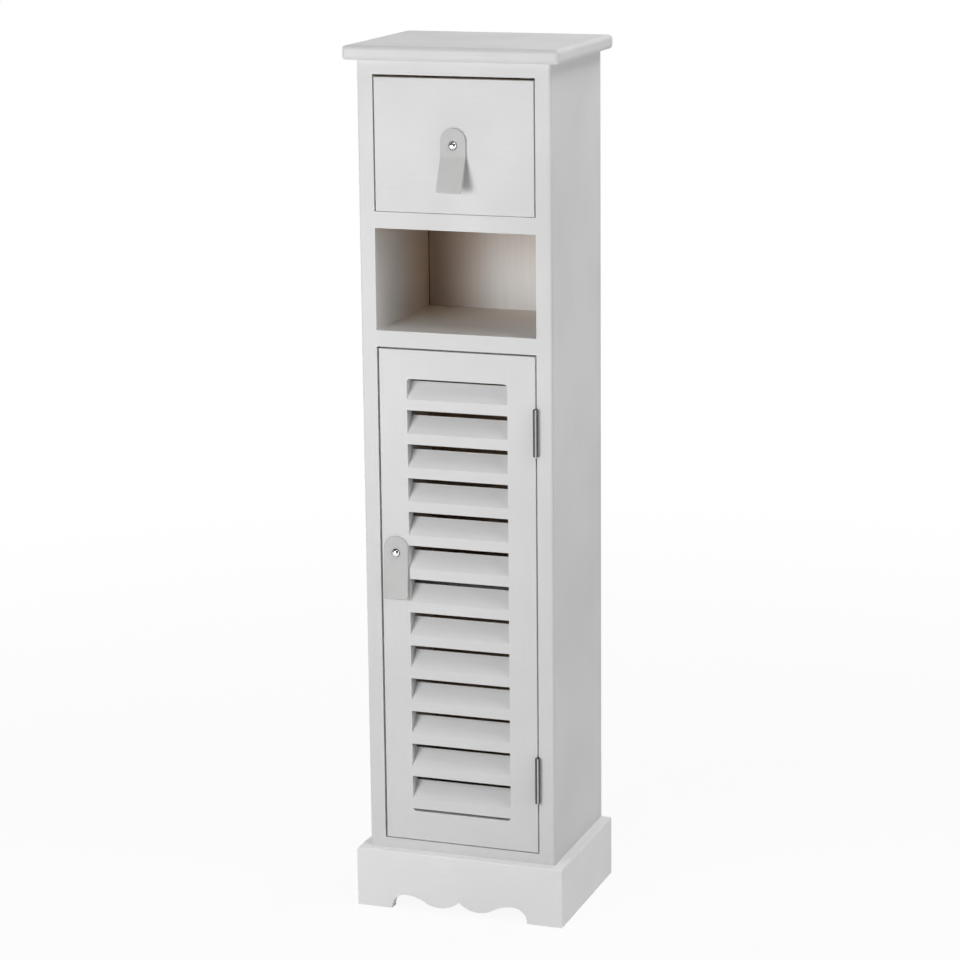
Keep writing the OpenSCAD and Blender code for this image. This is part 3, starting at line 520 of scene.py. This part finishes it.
def pull_screw(name, node, body, material):
    """A polished domed head with a rounded rim, just clear of the strap, on its shank."""
    low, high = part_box(node)
    head_r = (high.x - low.x) / 2
    centre = Vector((middle(node).x, low.y, middle(node).z))
    head_h = 3.0 * MM
    shank_r = 2.0 * MM
    rim_r = 0.35 * MM
    rim_curve = 1.5
    strap_gap = 0.15 * MM
    under = head_h - strap_gap
    dome_r = (head_r ** 2 + head_h ** 2) / (2 * head_h)
    dome_steps, rim_steps = 14, 4
    edge_a = math.asin((head_r - rim_r) / dome_r)
    profile = []
    for i in range(dome_steps + 1):
        a = edge_a * i / dome_steps
        profile.append((dome_r * math.sin(a), dome_r * (1 - math.cos(a))))
    rim_y = profile[-1][1]
    for i in range(1, rim_steps + 1):
        a = math.pi / 2 * i / rim_steps
        y = rim_y + (under - rim_y) * (i / rim_steps) ** rim_curve
        profile.append((head_r - rim_r + rim_r * math.sin(a), y))
    profile.append((shank_r, under))
    profile.append((shank_r, high.y - low.y))
    profile.append((0, high.y - low.y))
    return dress(revolve(name, profile, centre), material, body, [node])


# Stage, lights and camera


def direction(azimuth, elevation):
    """From the cabinet towards an azimuth and elevation in degrees, where azimuth 0 is in front."""
    a, e = math.radians(azimuth), math.radians(elevation)
    return Vector((math.sin(a) * math.cos(e), -math.cos(a) * math.cos(e), math.sin(e)))


def make_floor():
    half = 8.0
    verts = [(-half, -half, 0), (half, -half, 0), (half, half, 0), (-half, half, 0)]
    floor = new_piece("floor", verts, [(0, 1, 2, 3)], smooth=False)
    floor.data.materials.append(floor_material())


def make_lamp(name, power, azimuth, elevation, distance, size, height):
    lamp = bpy.data.lights.new(name, "AREA")
    lamp.shape = "DISK"
    lamp.size = size
    lamp.energy = power
    holder = bpy.data.objects.new(name, lamp)
    towards = direction(azimuth, elevation)
    holder.location = Vector((0, FRONT_Y, height)) + towards * distance
    holder.rotation_mode = "QUATERNION"
    holder.rotation_quaternion = towards.to_track_quat("Z", "Y")
    bpy.context.scene.collection.objects.link(holder)


def make_world():
    """White to the camera, and in reflections white behind the cabinet and dim in front of it."""
    dim_until, white_from = -0.2, 0.3
    world = bpy.data.worlds.new("studio")
    bpy.context.scene.world = world
    n = Nodes(world)
    towards = n.node("ShaderNodeTexCoord").outputs["Generated"]
    mirrored = n.ramp(n.split(towards)[1], dim_until, white_from, MIRRORED_FRONT, MIRRORED_BACK)
    rays = n.node("ShaderNodeLightPath").outputs
    level = WORLD_LEVEL
    for ray, value in (("Is Glossy Ray", mirrored), ("Is Transmission Ray", 1.0), ("Is Camera Ray", 1.0)):
        level = n.node("ShaderNodeMix", {0: rays[ray], 2: level, 3: value}).outputs[0]
    light = n.node("ShaderNodeBackground", {"Color": WHITE, "Strength": level})
    n.node("ShaderNodeOutputWorld", {"Surface": light.outputs[0]})


def make_camera():
    back = direction(CAMERA_AZIMUTH, CAMERA_ELEVATION)
    right = (-back).cross(Vector((0, 0, 1))).normalized()
    up = right.cross(-back)
    roll = math.radians(CAMERA_ROLL)
    right, up = right * math.cos(roll) + up * math.sin(roll), up * math.cos(roll) - right * math.sin(roll)
    data = bpy.data.cameras.new("camera")
    data.lens = CAMERA_LENS
    data.sensor_width = CAMERA_SENSOR
    data.sensor_fit = "AUTO"
    data.clip_start = 0.05
    data.clip_end = 100
    camera = bpy.data.objects.new("camera", data)
    turn = Matrix((right, up, back)).transposed().to_4x4()
    camera.matrix_world = Matrix.Translation(CAMERA_TARGET + back * CAMERA_DISTANCE) @ turn
    bpy.context.scene.collection.objects.link(camera)
    bpy.context.scene.camera = camera


# Which material each node gets, with the axis of its grain

PAINTED = {
    "x": ["top_panel", "bottom_board", "back_rail", "shelf",
          "drawer_front", "door_top_rail", "door_bottom_rail"],
    "z": ["left_side_panel", "right_side_panel", "door_left_stile", "door_right_stile"],
}
PLINTH = {"x": ["plinth_front"], "y": ["plinth_left", "plinth_right"]}
WOODEN = {
    "x": ["carcass_dowels", "door_dowels", "drawer_back", "drawer_bottom"],
    "y": ["drawer_left_side", "drawer_right_side", "drawer_stops", "drawer_dowels"],
    "z": ["corner_blocks"],
}
STEEL_NODES = [
    "top_screws", "shelf_pins", "catch_screws", "frame_hinge_screws", "door_hinge_screws", "catch_plate",
    "catch_plate_screw",
]
HINGE_NODES = [
    "upper_frame_leaf", "lower_frame_leaf", "upper_door_leaf", "lower_door_leaf", "upper_hinge_pin",
    "lower_hinge_pin",
]


def give(names, material):
    """Puts a material on CAD nodes."""
    for name in names:
        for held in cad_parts[name].material_slots:
            held.material = material


def make_materials():
    for axis, names in PAINTED.items():
        give(names, paint("white_paint_" + axis, axis))
    for axis, names in PLINTH.items():
        # The plinth gets the lighter paint with the floor's bounce light painted in
        give(names, paint("plinth_lit_paint_" + axis, axis, PLINTH_PAINT_LIT))
    slats = [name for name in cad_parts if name.startswith("louvre_slat_")]
    give(slats, paint("slat_paint", "x", faceted=True))
    # The niche floor gets its own, lighter painted shade and warm bounce light deep inside
    give(["niche_board"], paint("white_paint_niche_floor", "x", deep=NICHE_FLOOR_PAINTED_SHADE))
    give(["top_rail", "divider_board"], paint("white_paint_bare_below", "x", bare_below=True))
    for axis, names in WOODEN.items():
        give(names, bare_wood(axis))
    give(["back_panel"], back_board())
    give(STEEL_NODES, steel("steel", STEEL, 0.12))
    # The hinge steel carries a painted highlight line on the barrels
    give(HINGE_NODES, steel("hinge_steel", HINGE_STEEL, 0.20, HINGE_PAINTED_HIGHLIGHT))
    give(["magnet_catch"], plastic())


def make_pulls():
    strap_material, chrome_material = leather(), chrome()
    give(["drawer_pull_tab", "door_pull_tab"], strap_material)
    give(["drawer_pull_screw", "door_pull_screw"], chrome_material)
    for body, angle in (("drawer", DRAWER_STRAP_ANGLE), ("door", DOOR_STRAP_ANGLE)):
        tab, screw = body + "_pull_tab", body + "_pull_screw"
        strap(body + "_strap", tab, screw, angle, body, strap_material)
        pull_screw(body + "_strap_screw", screw, body, chrome_material)


def main():
    bpy.context.scene.view_settings.view_transform = "Standard"
    make_materials()
    make_pulls()
    make_floor()
    make_world()
    for name, lamp in LAMPS.items():
        make_lamp(name, **lamp)
    make_camera()


main()
